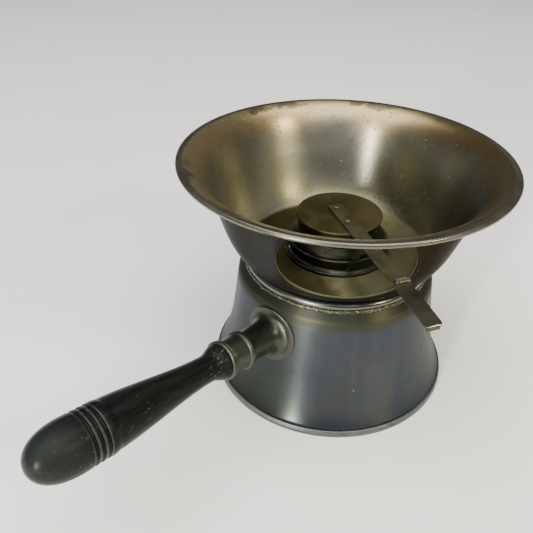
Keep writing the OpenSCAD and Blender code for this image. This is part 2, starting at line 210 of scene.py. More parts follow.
def outward_crossing(point, core, outline):
    """Where the ray from a hole's core through a point crosses the hole's outline."""
    start = np.array([min(max(point[0], -core), core), 0.0])
    ray = np.array(point) - start
    a = outline - start
    edge = np.roll(outline, -1, axis=0) - outline
    cross = ray[0] * edge[:, 1] - ray[1] * edge[:, 0]
    cross = np.where(abs(cross) < 1e-12, 1e-12, cross)
    t = (a[:, 0] * edge[:, 1] - a[:, 1] * edge[:, 0]) / cross
    u = (a[:, 0] * ray[1] - a[:, 1] * ray[0]) / cross
    good = (u >= -1e-9) & (u <= 1 + 1e-9) & (t > 0)
    return start + ray * t[good].max()


def spun(name, line, thickness, holes=(), turns=FINE, step=1.2, edge=0.3, wobble=0.0, seed=0.0):
    """A thin spun shell with rounded edges. The line is its outer face from below; each hole is
    (angle, height, half length of its core, outline about its centre, margin). Face groups are
    0 outside, 1 inside and 2 edges."""
    arcs, middle, normals = resampled(line, min(step, 0.5))

    def at(angle, s, depth):
        r = np.interp(s, arcs, middle[:, 0]) + depth * np.interp(s, arcs, normals[:, 0])
        z = np.interp(s, arcs, middle[:, 1]) + depth * np.interp(s, arcs, normals[:, 1])
        r = r + wobble * unevenness(angle, z, seed)
        return np.stack(np.broadcast_arrays(r * np.cos(angle), r * np.sin(angle), z), -1)

    rows = np.linspace(edge, arcs[-1] - edge, max(int(arcs[-1] / step), 4) + 1)
    angles = np.arange(turns) * 2 * pi / turns
    points = list(np.concatenate([at(angles, s, depth) for depth in (0.0, thickness) for s in rows]))
    inner = len(rows) * turns
    faces, groups = [], []
    corner = 0.29 * edge
    round_over = [(edge, 0), (corner, corner), (0, edge), (0, thickness - edge),
                  (corner, thickness - corner), (edge, thickness)]

    def stitch(rings, kinds):
        for k, kind in enumerate(kinds):
            low, high = rings[k], rings[k + 1]
            for i in range(len(low)):
                j = (i + 1) % len(low)
                faces.append([low[i], low[j], high[j], high[i]])
                groups.append(kind)

    def ring_of(angle, s, depth):
        first = len(points)
        points.extend(at(angle, s, depth))
        return list(range(first, len(points)))

    cut = np.zeros((len(rows), turns), bool)
    for angle, height, core, outline, margin in holes:
        s_mid = np.interp(height, middle[:, 1], arcs)
        r_mid = np.interp(s_mid, arcs, middle[:, 0])
        reach = abs(outline).max(axis=0) + margin
        i0 = floor((angle - reach[0] / r_mid) / angles[1])
        i1 = ceil((angle + reach[0] / r_mid) / angles[1])
        j0 = int(np.searchsorted(rows, s_mid + outline[:, 1].min() - margin)) - 1
        j1 = int(np.searchsorted(rows, s_mid + outline[:, 1].max() + margin))
        loop = ([(i, j0) for i in range(i0, i1)] + [(i1, j) for j in range(j0, j1)]
                + [(i, j1) for i in range(i1, i0, -1)] + [(i0, j) for j in range(j1, j0, -1)])
        outer_ids = [j * turns + i % turns for i, j in loop]
        local = np.array([((i * angles[1] - angle) * r_mid, rows[j] - s_mid) for i, j in loop])
        brink = np.array([outward_crossing(p, core, outline) for p in local])
        away = local - brink
        far = np.linalg.norm(away, axis=1)[:, None]
        rings = [outer_ids]
        steps = ([(away * share, 0.0) for share in (0.66, 0.36)]
                 + [(away / far * back, depth) for back, depth in round_over]
                 + [(away * share, thickness) for share in (0.36, 0.66)])
        for step_out, depth in steps:
            q = brink + step_out
            rings.append(ring_of(angle + q[:, 0] / r_mid, s_mid + q[:, 1], depth))
        rings.append([inner + k for k in outer_ids])
        stitch(rings, [0, 0, 0, 2, 2, 2, 2, 2, 1, 1, 1])
        for i in range(i0, i1):
            cut[j0:j1, i % turns] = True
    for j in range(len(rows) - 1):
        for i in range(turns):
            if not cut[j, i]:
                k = (i + 1) % turns
                face = [j * turns + i, j * turns + k, (j + 1) * turns + k, (j + 1) * turns + i]
                faces.extend([face, [inner + v for v in face]])
                groups.extend([0, 1])
    for row, start, inward in ((0, 0.0, 1), (len(rows) - 1, arcs[-1], -1)):
        rings = [[row * turns + i for i in range(turns)]]
        for back, depth in round_over[1:-1]:
            rings.append(ring_of(angles, start + inward * back, depth))
        rings.append([inner + row * turns + i for i in range(turns)])
        stitch(rings, [2] * 5)
    return finished(name, points, faces, 50, groups)


def prism(name, ends, place, soft):
    """A solid between two matching rings of points, with its sharp edges softened."""
    shape = bmesh.new()
    first, second = ([shape.verts.new(p) for p in ring] for ring in ends)
    shape.faces.new(first)
    shape.faces.new(second)
    for i in range(len(first)):
        j = (i + 1) % len(first)
        shape.faces.new((first[i], first[j], second[j], second[i]))
    bmesh.ops.recalc_face_normals(shape, faces=shape.faces)
    crisp = [e for e in shape.edges if e.calc_face_angle(0) > radians(30)]
    bmesh.ops.bevel(shape, geom=crisp, offset=soft, segments=3, affect="EDGES", clamp_overlap=True)
    shape.verts.ensure_lookup_table()
    shape.verts.index_update()
    points = [place @ v.co for v in shape.verts]
    faces = [[v.index for v in f.verts] for f in shape.faces]
    shape.free()
    return finished(name, points, faces, 40)


def strip(name, outline, side_a, side_b, place, soft):
    """A bar with a side outline of (out, up) points, from one side distance to the other."""
    return prism(name, [[(x, side, z) for x, z in outline] for side in (side_a, side_b)], place, soft)


def flat_bar(name, outline, low, high, place, soft=0.22):
    """A flat bar with an outline seen from above."""
    return prism(name, [[(x, y, z) for x, y in outline] for z in (low, high)], place, soft)


# ---- Finishes ----

class Finish:
    """A procedural material: short calls add texture nodes and return their outputs."""

    def __init__(self, name, metallic, sheen=0.0, specular=0.5, grazing=1.0):
        self.material = bpy.data.materials.new(name)
        self.material.use_nodes = True
        self.tree = self.material.node_tree
        self.inputs = self.tree.nodes["Principled BSDF"].inputs
        self.feed(self.inputs, {"Metallic": metallic, "Sheen Weight": sheen, "Specular IOR Level": specular,
                                "Specular Tint": (grazing, grazing, grazing, 1.0)})
        self.place = self.node("TexCoord", {}, "Object")
        self.colour = self.last_bump = None

    def feed(self, inputs, values):
        """Gives inputs their values: a socket is linked, and a plain value is set."""
        for key, value in values.items():
            if isinstance(value, bpy.types.NodeSocket):
                self.tree.links.new(value, inputs[key])
            else:
                inputs[key].default_value = value

    def node(self, kind, inputs, output=0, **settings):
        """Adds a node with its settings and inputs, and returns one of its outputs."""
        made = self.tree.nodes.new("ShaderNode" + kind)
        for key, value in settings.items():
            setattr(made, key, value)
        self.feed(made.inputs, inputs)
        return made.outputs[output]

    def math(self, operation, a, b=0.0):
        return self.node("Math", {0: a, 1: b}, operation=operation)

    def times(self, a, b):
        return self.math("MULTIPLY", a, b)

    def plus(self, a, b):
        return self.math("ADD", a, b)

    def combine(self, x, y, z):
        return self.node("CombineXYZ", {0: x, 1: y, 2: z})

    def split(self, vector=None):
        return self.node("SeparateXYZ", {0: vector or self.place}).node.outputs

    def turned_place(self, around, along):
        """Coordinates that run round the Z axis and along the profile, for lathe marks."""
        x, y, z = self.split()
        flat = self.node("VectorMath", {0: self.combine(x, y, 0.0)}, operation="NORMALIZE")
        u, v, _ = self.split(flat)
        radius = self.math("SQRT", self.plus(self.times(x, x), self.times(y, y)))
        run = self.times(self.plus(z, self.times(radius, 0.8)), along)
        return self.combine(self.times(u, around), self.times(v, around), run)

    def stretched(self, turn, scale):
        """Coordinates turned by three angles and scaled per axis, for marks that run one way."""
        inputs = {0: self.place, "Rotation": turn, "Scale": [1 / s for s in scale]}
        return self.node("Mapping", inputs, vector_type="TEXTURE")

    def toward(self, direction):
        """How far a point lies out from the axis in a direction in degrees, with an uneven edge."""
        x, y, _ = self.split()
        a = radians(direction)
        out = self.plus(self.times(x, cos(a)), self.times(y, sin(a)))
        return self.plus(out, self.times(self.math("SUBTRACT", self.noise(60, 3), 0.5), 0.02))

    def facing_up(self):
        """How far the surface faces up, from -1 to 1."""
        return self.split(self.node("NewGeometry", {}, "Normal"))[2]

    def noise(self, scale, detail=4.0, rough=0.55, place=None, warp=0.0):
        inputs = {"Vector": place or self.place, "Scale": scale, "Detail": detail, "Roughness": rough,
                  "Distortion": warp}
        return self.node("TexNoise", inputs, "Fac")

    def cells(self, scale, jitter=1.0):
        inputs = {"Vector": self.place, "Scale": scale, "Randomness": jitter}
        return self.node("TexVoronoi", inputs, "Distance")

    def ramp(self, value, low, high, out_low=0.0, out_high=1.0):
        """Maps a value from low..high to out_low..out_high, smoothly and clamped."""
        inputs = {"Value": value, "From Min": low, "From Max": high, "To Min": out_low, "To Max": out_high}
        return self.node("MapRange", inputs, "Result", interpolation_type="SMOOTHSTEP")

    def patches(self, scale, detail, low, high):
        """Soft-edged clouds."""
        return self.ramp(self.noise(scale, detail), low, high)

    def scattered(self, dots, clouds):
        """Round dots of (scale, outside, inside), only within patches()."""
        scale, outside, inside = dots
        return self.times(self.ramp(self.cells(scale), outside, inside), self.patches(*clouds))

    def mix(self, share, a, b):
        a, b = ((*tone, 1.0) if isinstance(tone, tuple) else tone for tone in (a, b))
        return self.node("Mix", {"Factor": share, "A": a, "B": b}, "Result", data_type="RGBA")

    def lay(self, tone, share, *factors):
        """Lays a tone over the colour so far, by a share times any factors."""
        for factor in factors:
            share = self.times(share, factor)
        self.colour = self.mix(share, self.colour, tone)

    def bump(self, height, distance, strength=1.0):
        """Adds a bump, with its height in metres at full strength."""
        inputs = {"Strength": strength, "Distance": distance, "Height": height}
        if self.last_bump is not None:
            inputs["Normal"] = self.last_bump
        self.last_bump = self.node("Bump", inputs, "Normal")

    def lathe_turned(self, amount):
        """Stretches highlights across the fine marks that run round the Z axis."""
        tangent = self.node("Tangent", {}, direction_type="RADIAL", axis="Z")
        self.feed(self.inputs, {"Anisotropic": amount, "Anisotropic Rotation": 0.25, "Tangent": tangent})

    def done(self, roughness):
        self.feed(self.inputs, {"Base Color": self.colour, "Roughness": roughness})
        if self.last_bump is not None:
            self.feed(self.inputs, {"Normal": self.last_bump})
        return self.material


def scaled(tone, factor):
    return tuple(c * factor for c in tone)


def old_metal(name, dull, pale, stain, rough, lathe=True, blotch=14.0, stain_from=0.62, pits=0.0,
              rubbed=0.0, metallic=0.9, specular=0.5, grazing=1.0, side_tone_and_shade=None):
    """Tarnished sheet metal: two tones in soft clouds, stains, fine marks, pits and rubbed edges.
    Its last argument is (direction, start, end, tone): a tone laid over one side of the object, which is
    painted shade where it makes the burner and sleeve near black on their far side."""
    bright_edge, bright_speck = (0.42, 0.40, 0.34), (0.75, 0.74, 0.66)
    f = Finish(name, metallic, specular=specular, grazing=grazing)
    clouds = f.noise(blotch, 5, 0.6, warp=0.4)
    f.colour = f.mix(f.ramp(clouds, 0.36, 0.64), dull, pale)
    if side_tone_and_shade is not None:
        direction, start, end, tone = side_tone_and_shade
        f.lay(tone, f.ramp(f.toward(direction), start, end))
    share = f.ramp(f.noise(38, 6, 0.62, warp=1.2), stain_from, stain_from + 0.1)
    f.lay(stain, share, 0.75)
    around = f.turned_place(1.4, 900.0) if lathe else f.stretched((0, 0, -lever_angle), (30, 420, 420))
    marks = f.noise(1.0, 5, 0.7, around)
    fine = f.ramp(marks, 0.3, 0.7)
    f.lay(scaled(dull, 0.72), fine, 0.28)
    scuffs = f.noise(160, 3, 0.5, f.stretched((0.3, 0.5, 0.9), (0.2, 2.2, 1.0)))
    f.lay(scaled(pale, 1.6), f.ramp(scuffs, 0.66, 0.72), 0.22)
    roughness = f.plus(f.ramp(clouds, 0.3, 0.7, *rough), f.times(f.plus(share, fine), 0.06))
    # lighter convex edges: rubbed wear, partly a painted highlight along the edges
    if rubbed > 0:
        convex = f.node("NewGeometry", {}, "Pointiness")
        wear_and_highlight = f.times(f.ramp(convex, 0.515, 0.56), f.patches(60, 3, 0.35, 0.6))
        f.lay(bright_edge, wear_and_highlight, rubbed)
    f.bump(marks, 0.00004, 0.35)
    f.bump(scuffs, 0.00003, 0.3)
    if pits > 0:
        dots = f.scattered((520, 0.16, 0.05), (70, 2, 0.5, 0.62))
        f.lay(scaled(dull, 0.25), dots, pits)
        f.bump(f.times(dots, -1.0), 0.00025, 0.8)
        specks = f.scattered((300, 0.07, 0.03), (33, 2, 0.55, 0.6))
        f.lay(bright_speck, specks, 0.8)
    return f.done(roughness)


def stand_metal():
    """Dark slate-grey tarnish of the cone, greener towards the handle."""
    blue, grey, green = (0.044, 0.052, 0.068), (0.061, 0.068, 0.073), (0.036, 0.045, 0.035)
    warm, pale, shoulder = (0.06, 0.06, 0.046), (0.075, 0.079, 0.06), (0.06, 0.065, 0.048)
    shoulder_highlight_tone, near_foot_tone, bright = (0.15, 0.145, 0.06), (0.012, 0.012, 0.01), (0.42, 0.42, 0.38)
    f = Finish("stand_metal", 0.92, grazing=0.8)
    x, _, z = f.split()
    clouds = f.noise(15, 5, 0.6, warp=0.5)
    f.colour = f.mix(f.ramp(clouds, 0.38, 0.62), blue, grey)
    lean = f.plus(f.times(x, -1.0), f.times(f.noise(26, 4), 0.05))
    f.lay(green, f.ramp(lean, 0.07, 0.125))
    f.lay(warm, f.ramp(f.noise(27, 5, 0.62, warp=0.8), 0.54, 0.68), 0.5)
    bands = f.ramp(f.noise(1.0, 3, 0.6, f.turned_place(6.0, 7.0)), 0.5, 0.66)
    f.lay(pale, bands, 0.25)
    top = f.plus(z, f.times(f.noise(40, 4), 0.006))
    f.lay(shoulder, f.ramp(top, 0.0765, 0.0815))
    # painted highlight: a thin warm line along the shoulder's edge
    line = f.times(f.ramp(z, 0.0805, 0.0814), f.ramp(z, 0.0828, 0.0819))
    f.lay(shoulder_highlight_tone, line, f.patches(24, 3, 0.4, 0.62), 0.5)
    # darker towards the bottom, just above the foot band
    darker_near_foot = f.times(f.ramp(z, 0.0068, 0.0046), f.ramp(f.noise(60, 3), 0.3, 0.55, 0.5, 1.0))
    f.lay(near_foot_tone, darker_near_foot)
    marks = f.noise(1.0, 6, 0.72, f.turned_place(1.6, 1100.0))
    f.lay((0.04, 0.042, 0.045), f.ramp(marks, 0.35, 0.7), 0.3)
    # painted glint and painted shade: each small dimple gets a pale centre and a ring made darker round it;
    # the bump further down gives the dimple itself
    chance = (19, 1, 0.57, 0.61)
    dent_and_glint, rings = (f.scattered((62, *size), chance) for size in ((0.055, 0.02), (0.085, 0.055)))
    f.lay((0.03, 0.03, 0.03), rings, 0.5)
    f.lay(bright, dent_and_glint)
    scratch = f.ramp(f.noise(150, 2, 0.5, f.stretched((0.9, 0.2, 0.4), (0.12, 2.4, 1.0))), 0.72, 0.77)
    f.lay((0.24, 0.24, 0.24), scratch, 0.1)
    rub = f.noise(1.0, 4, 0.6, f.turned_place(70.0, 60.0))
    roughness = f.plus(f.ramp(clouds, 0.3, 0.7, 0.28, 0.34), f.times(rub, 0.08))
    roughness = f.plus(roughness, f.ramp(top, 0.0765, 0.0815, 0.0, 0.2))
    f.lathe_turned(0.8)
    f.bump(marks, 0.00005, 0.4)
    f.bump(f.noise(55, 3), 0.0003, 0.25)
    f.bump(f.times(dent_and_glint, -1.0), 0.0003, 0.7)
    return f.done(roughness)


def bowl_inside():
    """Worn tinned inside of the bowl: grey-green, browner at the rim, pitted and specked, with painted shade
    low on the near side, painted light low on the far side, and painted shade and a painted reflection on
    the floor.
    """
    grey, pale, olive = (0.185, 0.192, 0.155), (0.245, 0.248, 0.22), (0.2, 0.185, 0.085)
    low_olive, painted_shade_tone, painted_light_tone = (0.17, 0.163, 0.1), (0.05, 0.048, 0.024), (0.34, 0.335, 0.25)
    speck, pit, mottled = (0.85, 0.83, 0.74), (0.06, 0.06, 0.04), (0.16, 0.16, 0.11)
    brown, rim_brown_painted_shade, rim_blot = (0.4, 0.31, 0.155), (0.17, 0.125, 0.055), (0.09, 0.07, 0.04)
    floor_painted_shade, floor_tan_painted_reflection, floor_dirt = (0.026, 0.024, 0.006), (0.15, 0.143, 0.075), (0.06, 0.057, 0.018)
    f = Finish("bowl_inside", 0.9)
    z = f.split()[2]
    clouds = f.noise(13, 6, 0.62, warp=0.6)
    f.colour = f.mix(f.ramp(clouds, 0.38, 0.62), grey, pale)
    f.lay(olive, f.ramp(f.noise(19, 5, 0.6, warp=0.8), 0.46, 0.66), 0.6)
    low = f.plus(z, f.times(f.noise(30, 4), 0.02))
    f.lay(low_olive, f.ramp(low, 0.128, 0.112))
    # painted shade: the low part of the near side is made darker
    shade = f.times(f.ramp(f.toward(NEAR_SIDE), 0.005, 0.05), f.ramp(low, 0.168, 0.125))
    f.lay(painted_shade_tone, shade, 0.8)
    # painted light: the low part of the far side is made lighter
    painted_light_mask = f.times(f.ramp(f.toward(FAR_SIDE), 0.02, 0.05), f.ramp(low, 0.16, 0.125))
    f.lay(painted_light_tone, painted_light_mask, 0.8)
    height = f.plus(z, f.times(f.noise(26, 5, 0.65), 0.03))
    # the rim's brown, made darker on the near side: painted shade
    rim_brown = f.mix(f.ramp(f.toward(NEAR_SIDE), 0.03, 0.085), brown, rim_brown_painted_shade)
    f.lay(rim_brown, f.ramp(height, 0.156, 0.175))
    edge = f.plus(z, f.times(f.noise(60, 5, 0.7, warp=1.5), 0.011))
    blot = f.times(f.ramp(edge, 0.166, 0.1675), f.patches(23, 2, 0.5, 0.56))
    f.lay(rim_blot, blot, 0.8)
    dots = f.scattered((270, 0.17, 0.07), (48, 3, 0.47, 0.58))
    f.lay(pit, dots, 0.8)
    specks = f.scattered((170, 0.085, 0.035), (31, 2, 0.53, 0.6))
    f.lay(speck, specks, 0.9)
    mottle = f.noise(420, 4, 0.65)
    f.lay(mottled, f.ramp(mottle, 0.4, 0.7), 0.3)
    # the floor: painted shade on the far side and a pale brown painted reflection on the near side, with
    # real dirt over both
    base = f.ramp(z, 0.0975, 0.0955)
    floor_shade_and_reflection = f.mix(f.ramp(f.toward(NEAR_SIDE), -0.012, 0.001), floor_painted_shade, floor_tan_painted_reflection)
    dirt = f.mix(f.ramp(f.noise(55, 4, 0.6), 0.35, 0.65), floor_shade_and_reflection, floor_dirt)
    f.lay(f.mix(0.3, floor_shade_and_reflection, dirt), base)
    roughness = f.plus(f.ramp(clouds, 0.3, 0.7, 0.25, 0.32), f.times(mottle, 0.08))
    roughness = f.plus(roughness, f.times(base, 0.25))
    f.lathe_turned(0.7)
    f.bump(f.noise(1.0, 6, 0.7, f.turned_place(1.5, 800.0)), 0.00004, 0.35)
    f.bump(mottle, 0.00008, 0.4)
    f.bump(f.times(dots, -1.0), 0.0003, 0.8)
    return f.done(roughness)


def solder_metal():
    """Lumpy tin-lead solder, dull olive with bright facets."""
    f = Finish("solder", 0.95)
    # bright lumps: painted glints; the dull olive between them is the solder's own colour
    lumps = f.noise(900, 4, 0.65)
    f.colour = f.mix(f.ramp(lumps, 0.5, 0.68), (0.06, 0.062, 0.036), (0.4, 0.4, 0.31))
    dirt = f.noise(170, 4, 0.6)
    f.lay((0.055, 0.056, 0.036), f.ramp(dirt, 0.5, 0.65), 0.7)
    f.bump(lumps, 0.0004, 0.8)
    return f.done(f.ramp(dirt, 0.4, 0.6, 0.28, 0.48))


def grip_wood(name, light):
    """Ebonised wood: satin black with faint grain, olive rub marks on upward faces that are partly painted
    top light, a painted highlight at the round end, and fine scratches.
    """
    f = Finish(name, 0.0, specular=0.07 * light)
    tilt = (0, radians(handle_rise), 0)
    grain = f.noise(1.0, 5, 0.65, f.stretched(tilt, (9, 420, 420)))
    f.colour = f.mix(f.ramp(grain, 0.35, 0.68), scaled((0.004, 0.005, 0.005), light),
                   scaled((0.01, 0.0118, 0.011), light))
    wear_and_highlight = f.noise(1.0, 4, 0.6, f.stretched(tilt, (18, 60, 60)))
    # the rub marks go only on upward faces: partly painted top light
    upper = f.ramp(f.facing_up(), 0.1, 0.8)
    f.lay((0.0105, 0.0112, 0.0085), f.ramp(wear_and_highlight, 0.42, 0.62), upper, 0.55)
    # painted highlight: lighter at the grip's round end
    x = f.split()[0]
    f.lay((0.016, 0.0195, 0.0185), f.ramp(x, -0.2, -0.222), 0.6)
    scratch = f.ramp(f.noise(1.0, 2, 0.5, f.stretched((0.2, 0.1, 0.35), (24, 800, 800))), 0.65, 0.71)
    share = f.times(scratch, f.plus(f.times(f.ramp(x, -0.142, -0.118), 0.9), 0.15))
    f.lay((0.11, 0.1, 0.08), share)
    specks = f.scattered((260, 0.09, 0.03), (40, 1, 0.56, 0.6))
    f.lay((0.3, 0.3, 0.27), specks, 0.5)
    f.bump(grain, 0.00012, 0.5)
    f.bump(scratch, 0.0001, -0.4)
    return f.done(f.ramp(wear_and_highlight, 0.35, 0.65, 0.26, 0.42))


def wick_cotton():
    """Cotton wick, charred on top, with a woven surface."""
    f = Finish("wick_cotton", 0.0, sheen=0.3)
    weave = f.cells(900, jitter=0.6)
    f.colour = f.mix(f.ramp(weave, 0.1, 0.5), (0.12, 0.11, 0.09), (0.5, 0.46, 0.38))
    f.lay((0.02, 0.018, 0.016), f.ramp(f.split()[2], 0.09, 0.097))
    f.bump(weave, 0.0005, 0.8)
    return f.done(f.ramp(weave, 0, 1, 0.8, 0.95))


def floor_paint():
    """Plain pale floor with a faint mottle."""
    f = Finish("floor_paint", 0.0)
    f.colour = f.mix(f.patches(9, 3, 0.3, 0.7), (0.88, 0.88, 0.875), (0.9, 0.9, 0.895))
    return f.done(0.8)


def painted_highlight_faces(piece, place, test):
    """Gives the second material, a painted highlight, to the faces whose centre and normal pass a test, seen
    from a place.
    """
    back = place.inverted()
    turn = back.to_3x3()
    for face in piece.data.polygons:
        if test(back @ (face.center / MM), turn @ face.normal):
            face.material_index = 1
    return piece


def put(piece, slot, replaced, *materials, body="stand"):
    """Gives a piece its materials, its body and the CAD nodes it stands for; its slot is not used."""
    for material in materials:
        piece.data.materials.append(material)
    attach(piece, body)
    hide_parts(*replaced)


# ---- Stand ----

seam_z = foot_h + 0.6
cone_foot_r = foot_r - 1.8
cone_top = (67.2, 79)
cone_line = path((cone_foot_r, seam_z), ((79.6, 11.5), (76.3, 21), (73, 37)),
                 ((71, 46.8), (69, 66), cone_top))


def stand_shell(material):
    """The spun cone with its rolled shoulder and flat top."""
    top_z = floor_z - 2 * bead_r
    line = ([(foot_r - 2.6, 0.8), (foot_r - 2.6, foot_h - 0.4)] + cone_line
            + cubic(cone_top, [66.95, 80.7], [66.8, 81.2], [65.7, 82.5], 6)
            + cubic([62.3, 86.1], [61.7, 86.7], [61.4, top_z], [60.6, top_z], 6) + [(50, top_z)])
    put(spun("stand_shell", line, stand_t, wobble=0.12, seed=0.7), "stand_metal", ["base_shell"], material)


def foot_band(material):
    """The rolled band round the foot, with a fine bead above its edge."""
    top = foot_h
    outline = path(
        (foot_r - 3.6, 0), (foot_r - 0.6, 0), ((foot_r, 0), (foot_r, 0.3), (foot_r, 1), 4),
        ((foot_r, 2.2), (foot_r - 0.25, 2.9), (foot_r - 0.55, 3.3), 4),
        ((foot_r - 0.3, 3.6), (foot_r - 0.5, top), (foot_r - 1.4, top), 5), (foot_r - 2.4, top),
        (foot_r - 2.4, 0.7), (foot_r - 3.6, 0.7))
    put(turned("foot_band", soften(outline, 0.2), wobble=0.06, seed=2.2), "foot_metal",
        ["foot_ring"], material)


def solder_fillet(material):
    """Hand-run solder between the stand and the bowl, lumpy all round."""
    low = floor_z - 2 * bead_r
    outline = path(
        (60, low - 0.1), (61.2, low - 0.3), (62.0, low - 1.0), (62.5, low - 1.1),
        ((63.1, low - 0.6), (62.9, low + 0.5), (62.1, low + 1.0), 11), (61.3, low + 1.0), (60, low + 0.3))
    made = turned("solder_fillet", outline, 900)
    for v in made.data.vertices:
        out = Vector((v.co.x, v.co.y, 0)).normalized()
        if v.co.xy.length > 0.0612:
            at = v.co / MM
            lump = noise.noise(at * 0.33) * 0.5 + noise.noise(at * 0.9) * 0.35 + noise.noise(at * 2.1) * 0.2
            v.co += (out * 0.8 - Vector((0, 0, 0.45))) * lump * 0.75 * MM
    put(made, "solder", ["solder_seam"], material)


# ---- Bowl ----

bowl_seed = 1.3
floor_edge, belly, breast, waist = (55, floor_z), (66.9, 99.8), (73.6, 110), (81.3, 131.3)
bowl_line = path(
    (29, floor_z), floor_edge, ((60, floor_z), (64.2, 97), belly, 24),
    ((68.9, 102), (71.1, 105), breast, 14), ((76.5, 116), (78.3, 122.5), waist, 20),
    ((86.9, 146), (90, 160.2), (rim_r - 0.3, rim_z + wire_r - bowl_t), 40))


def window_outline(line, middle_z):
    """The window's edge about its centre, as (round, along) distances on the bowl's wall."""
    half, sill, top, corner = 38.5, 105.0, 155.0, 8.0

    def fuller(v):
        return copysign(abs(v) ** 0.85, v)

    flat = [(half * fuller(cos(a)), middle_z + (middle_z - sill) * fuller(sin(a)))
            for a in np.radians(np.arange(180, 361, 4))]
    shoulder = top - corner
    side = path((half, middle_z), ((half, middle_z + 7), (half - 2.6, top - 14), (half - 4, shoulder), 14),
                *arc((half - 4.5 - corner, shoulder), corner, 10, 90, 14))[1:]
    flat += side + [(-x, z) for x, z in side[-2::-1]]
    arcs, middle, _ = resampled(line, 0.4)
    r_mid = np.interp(middle_z, middle[:, 1], middle[:, 0])
    s_mid = np.interp(middle_z, middle[:, 1], arcs)
    out = []
    for y, z in flat:
        r = np.interp(z, middle[:, 1], middle[:, 0])
        out.append((asin(y / r) * r_mid, np.interp(z, middle[:, 1], arcs) - s_mid))
    return np.array(out)


def bowl_shell(outside, inside, edges):
    """The flared bowl with the window that the lever passes through."""
    direction, middle_z, core, margin = radians(-143), 131.0, 14.0, 2.0
    window = (direction, middle_z, core, window_outline(bowl_line, middle_z), margin)
    made = spun("bowl_shell", bowl_line, bowl_t, [window], turns=PIERCED, step=1.0, edge=0.35,
                wobble=0.1, seed=bowl_seed)
    put(made, "bowl_metal", ["bowl"], outside, inside, edges)


def base_ring(material):
    """The round bead between the stand's top and the bowl's floor."""
    put(turned("base_ring", arc(bead_at, bead_r - 0.01, 0, 354, 59), wobble=0.05, seed=bowl_seed),
        "bowl_metal", ["base_bead"], material)


def rim_roll(material):
    """The lip rolled over its wire, flush with the bowl's inside."""
    _, middle, normals = resampled(bowl_line, 0.4)
    inner = (middle + bowl_t * normals)[-60:]
    start_r, blend_r = rim_r - 2.6, rim_r - 1.6
    start_z, blend_z = np.interp((start_r, blend_r), inner[:, 0], inner[:, 1])
    top = rim_z + wire_r
    outline = path(
        (start_r, start_z - 0.3), (start_r, start_z + 0.02), (blend_r, blend_z + 0.06),
        ((rim_r - 1.1, top - 0.02), (rim_r - 0.5, top), (rim_r, top), 6),
        *arc((rim_r - 0.04, rim_z), wire_r, 84, -120, 20), (rim_r - 1.2, rim_z - 0.6),
        (rim_r - 1.5, rim_z - 0.1))
    put(turned("rim_roll", outline, 512, wobble=0.1, seed=bowl_seed), "bowl_metal", ["rim_wire"], material)


# ---- Burner ----

drum_in = skirt_r + 0.06
slot_low, slot_high = flange_z + 2.8, lip_z - 1.8


def slots(radius, start, sweep, low, high):
    """The two round-ended slots of a ring, half a turn apart, for spun()."""
    half_high = (high - low) / 2
    core = radius * radians(sweep) / 2 - half_high
    side = [(x, -half_high) for x in np.linspace(-core, core, 60)]
    outline = np.array(side + arc((core, 0), half_high, -90, 90, 24)[1:-1]
                       + [(-x, half_high) for x, _ in side] + arc((-core, 0), half_high, 90, 270, 24)[1:-1])
    turns = [radians(start + sweep / 2 + extra) for extra in (0, 180)]
    return [(angle, (low + high) / 2, core, outline, 0.45) for angle in turns]


def burner_drum(material):
    """Fixed drum: flange and neck, slotted wall and rolled lip."""
    top = flange_z + 1.2
    flange = path(
        (32.8, flange_z), (32.8, drum_bottom), (flange_r, drum_bottom), (flange_r, top),
        (drum_r + 1.4, top), ((drum_r + 1.3, top + 0.5), (drum_r + 0.4, top + 0.7), (drum_r, top + 1.3), 6),
        (drum_in, top + 1.3), (drum_in, top), (24.6, top), (24.6, flange_z))
    lip = path(
        (drum_in, lip_z - 1.3), (drum_r, lip_z - 1.4),
        ((drum_r + 0.6, lip_z - 1.3), (drum_r + 0.6, lip_z), (drum_r, lip_z), 10), (drum_in, lip_z))
    slot_start, slot_sweep = -222, 90
    holes = slots(drum_r, slot_start, slot_sweep, slot_low, slot_high)
    wall = [(drum_r, top + 0.6), (drum_r, lip_z - 0.3)]
    for piece in (turned("drum_flange", soften(flange, 0.25)),
                  spun("drum_wall", wall, drum_r - drum_in, holes, PIERCED, 0.4, 0.12),
                  turned("drum_lip", soften(lip, 0.2))):
        put(piece, "burner_metal", ["burner_drum"], material)


def regulator_sleeve(outside, inside):
    """Turning sleeve with air slots, a domed shoulder and a ring of flame ports."""
    shoulder, neck_top, wall = 110.6, cap_z - cap_t, 0.8
    line = path(
        (skirt_r, skirt_bottom), (skirt_r, lip_z + 0.4),
        ((skirt_r, lip_z + 3.2), (neck_r + 1.6, shoulder - 1.4), (neck_r, shoulder), 12), (neck_r, neck_top))
    slot_start, slot_sweep, slot_extra = -255, 80, 0.3
    holes = slots(skirt_r, slot_start, slot_sweep, slot_low - slot_extra, slot_high + slot_extra)
    ports, port_z = 20, (shoulder + neck_top) / 2 + 1
    port = np.array(arc((0, 0), 1.6, 0, 345, 23))
    holes += [(radians((i + 0.5) * 360 / ports), port_z, 0.0, port, 0.7) for i in range(ports)]
    made = spun("regulator_sleeve", line, wall, holes, turns=PIERCED, step=0.4, edge=0.12)
    put(made, "burner_metal", ["regulator_skirt"], outside, inside, outside, body="regulator")


